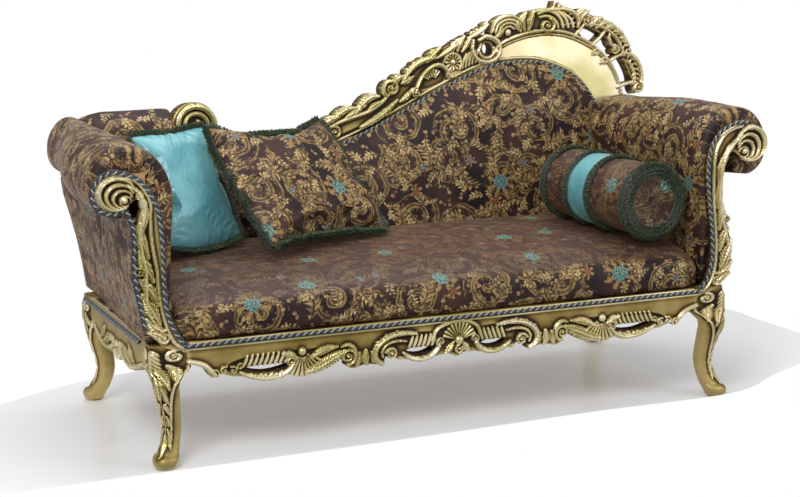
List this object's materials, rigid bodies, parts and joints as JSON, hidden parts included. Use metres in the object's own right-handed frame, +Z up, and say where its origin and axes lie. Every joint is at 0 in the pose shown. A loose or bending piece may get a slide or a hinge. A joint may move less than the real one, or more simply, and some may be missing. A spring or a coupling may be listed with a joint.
{
  "type": "chaise longue",
  "caption": "Carved and gilded chaise longue with scrolled arms, a high arched crest at one end, brocade upholstery, two loose cushions and a bolster.",
  "frame": {"origin": "on the floor under the middle of the whole piece", "axes": "+X along the seat towards the high end, +Y from the front to the back, +Z up"},
  "size_m": [1.9429, 0.8252, 1.0574],
  "materials": {
    "gilt_wood": "carved hardwood with rubbed antique gilding",
    "carcass_wood": "sawn beech, unfinished",
    "glide": "moulded glide",
    "brocade": "woven brocade, satin weave",
    "satin": "plain satin with a soft gloss",
    "cord": "twisted double cord",
    "fringe": "cut ruche fringe",
    "foam": "upholstery foam",
    "filling": "loose fibre in an inner case",
    "hessian": "plain hessian",
    "webbing": "jute webbing"
  },
  "bodies": {
    "frame": {"front_rail": "gilt_wood", "back_rail": "gilt_wood", "left_side_rail": "gilt_wood", "right_side_rail": "gilt_wood", "front_left_leg": "gilt_wood", "front_right_leg": "gilt_wood", "rear_left_leg": "gilt_wood", "rear_right_leg": "gilt_wood", "left_arm_facing": "gilt_wood", "right_arm_facing": "gilt_wood", "crest_slope": "gilt_wood", "crest_panel": "gilt_wood", "crest_cresting": "gilt_wood", "crest_volute": "gilt_wood", "left_arm_front_post": "carcass_wood", "right_arm_front_post": "carcass_wood", "left_arm_top_rail": "carcass_wood", "right_arm_top_rail": "carcass_wood", "left_arm_tack_rail": "carcass_wood", "right_arm_tack_rail": "carcass_wood", "right_back_post": "carcass_wood", "left_back_post": "carcass_wood", "low_back_upright": "carcass_wood", "high_back_upright": "carcass_wood", "low_back_top_rail": "carcass_wood", "low_back_post": "carcass_wood", "seat_cross_rails": "carcass_wood", "corner_blocks": "carcass_wood", "foot_glides": "glide", "right_arm_pad": "brocade", "left_arm_pad": "brocade", "low_back_pad": "brocade", "seat_cover": "brocade", "back_pad": "brocade", "right_outside_panel": "brocade", "left_outside_panel": "brocade", "low_back_outside_panel": "brocade", "outside_back_panel": "brocade", "right_arm_gimp": "cord", "left_arm_gimp": "cord", "back_gimp": "cord", "seat_gimp": "cord", "left_side_gimp": "cord", "right_side_gimp": "cord", "seat_foam": "foam", "seat_hessian": "hessian", "dust_cover": "hessian", "seat_webbing_lengthwise": "webbing", "seat_webbing_crosswise": "webbing", "back_webbing": "webbing"},
    "satin_cushion": {"satin_cushion_cover": "satin", "satin_cushion_filling": "filling", "satin_cushion_fringe": "fringe"},
    "brocade_cushion": {"brocade_cushion_cover": "brocade", "brocade_cushion_filling": "filling", "brocade_cushion_fringe": "fringe"},
    "bolster": {"bolster_cover": "brocade", "bolster_filling": "filling", "bolster_satin_band": "satin", "bolster_fringes": "fringe"}
  },
  "joints": [
    {"name": "satin_cushion_lift", "type": "slide", "parent": "frame", "child": "satin_cushion", "axis": [0, 0, 1], "range_m": [0, 0.025]},
    {"name": "brocade_cushion_lift", "type": "slide", "parent": "frame", "child": "brocade_cushion", "axis": [0.3156, -0.6538, 0.6877], "range_m": [0, 0.5]},
    {"name": "bolster_lift", "type": "slide", "parent": "frame", "child": "bolster", "axis": [0, 0, 1], "range_m": [0, 0.5]}
  ]
}
